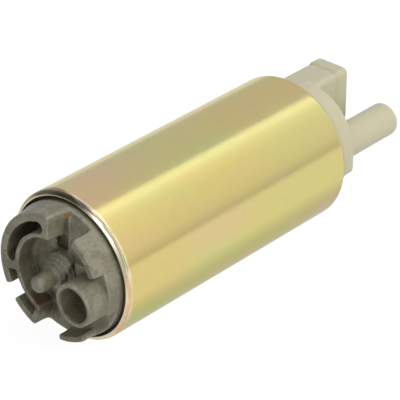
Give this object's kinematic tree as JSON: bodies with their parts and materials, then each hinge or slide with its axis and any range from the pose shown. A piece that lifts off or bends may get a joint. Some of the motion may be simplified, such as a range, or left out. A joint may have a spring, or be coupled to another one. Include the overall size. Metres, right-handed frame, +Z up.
{
  "type": "fuel pump",
  "caption": "Electric in-tank fuel pump: rolled steel barrel, cast inlet cover with spigot and post, moulded end cap with connector socket and outlet nipple.",
  "frame": {"origin": "on the pump axis, at the middle of the steel barrel", "axes": "+X along the pump axis from the inlet cover to the outlet cap, +Z up towards the connector, +Y to the left seen from the outlet"},
  "size_m": [0.1158, 0.038, 0.038],
  "materials": {
    "zinc_steel": "yellow zinc chromate over drawn steel, satin, iridescent",
    "cast_cover": "dark grey die casting, matte, brown stains",
    "beige_plastic": "beige moulded plastic, matte",
    "sintered_steel": "ground sintered steel",
    "impeller_resin": "dark brown phenolic resin",
    "bronze": "oil-filled sintered bronze",
    "bright_steel": "ground steel",
    "lamination": "stacked electrical steel",
    "copper": "enamelled copper wire",
    "insulation": "pressed insulating board",
    "phenolic": "moulded phenolic",
    "ferrite": "ground ferrite",
    "spring_steel": "spring steel",
    "holder_plastic": "natural moulded plastic",
    "carbon": "pressed carbon",
    "contact_brass": "tinned brass strip",
    "seal_rubber": "fuel-proof rubber",
    "valve_plastic": "white moulded plastic"
  },
  "bodies": {
    "housing": {"housing_shell": "zinc_steel", "inlet_cover": "cast_cover", "thrust_button": "bright_steel", "spacer_ring": "sintered_steel", "pump_casing": "cast_cover", "lower_bush": "bronze", "magnet_left": "ferrite", "magnet_right": "ferrite", "magnet_clips": "spring_steel", "brush_holder": "holder_plastic", "upper_bush": "bronze", "brush_spring_positive": "spring_steel", "brush_spring_negative": "spring_steel", "brush_lead_positive": "copper", "brush_lead_negative": "copper", "choke_cores": "ferrite", "choke_windings": "copper", "terminal_positive": "contact_brass", "terminal_negative": "contact_brass", "end_cap": "beige_plastic", "cap_seal": "seal_rubber", "check_valve_seat": "bright_steel", "check_valve_spring": "spring_steel", "relief_valve_spring": "spring_steel", "relief_valve_plug": "bronze"},
    "rotor": {"shaft": "bright_steel", "impeller": "impeller_resin", "armature_core": "lamination", "armature_windings": "copper", "armature_insulators": "insulation", "commutator_hub": "phenolic", "commutator_segments": "carbon", "thrust_washer": "bright_steel"},
    "check_poppet": {"check_valve_poppet": "valve_plastic"},
    "relief_ball": {"relief_valve_ball": "bright_steel"},
    "positive_brush": {"brush_positive": "carbon"},
    "negative_brush": {"brush_negative": "carbon"}
  },
  "joints": [
    {"name": "rotor_spin", "type": "hinge", "parent": "housing", "child": "rotor", "pos_m": [0, 0, 0], "axis": [1, 0, 0], "continuous": true},
    {"name": "check_valve_lift", "type": "slide", "parent": "housing", "child": "check_poppet", "axis": [1, 0, 0], "range_m": [0, 0.002], "stiffness_N_per_m": 20, "springref_m": -0.005, "deforming": ["check_valve_spring"]},
    {"name": "relief_valve_lift", "type": "slide", "parent": "housing", "child": "relief_ball", "axis": [1, 0, 0], "range_m": [0, 0.001], "stiffness_N_per_m": 50, "springref_m": -0.01, "deforming": ["relief_valve_spring"]},
    {"name": "positive_brush_slide", "type": "slide", "parent": "housing", "child": "positive_brush", "axis": [1, 0, 0], "range_m": [0, 0.0015], "stiffness_N_per_m": 50, "springref_m": -0.01, "deforming": ["brush_spring_positive", "brush_lead_positive"]},
    {"name": "negative_brush_slide", "type": "slide", "parent": "housing", "child": "negative_brush", "axis": [1, 0, 0], "range_m": [0, 0.0015], "stiffness_N_per_m": 50, "springref_m": -0.01, "deforming": ["brush_spring_negative", "brush_lead_negative"]}
  ]
}
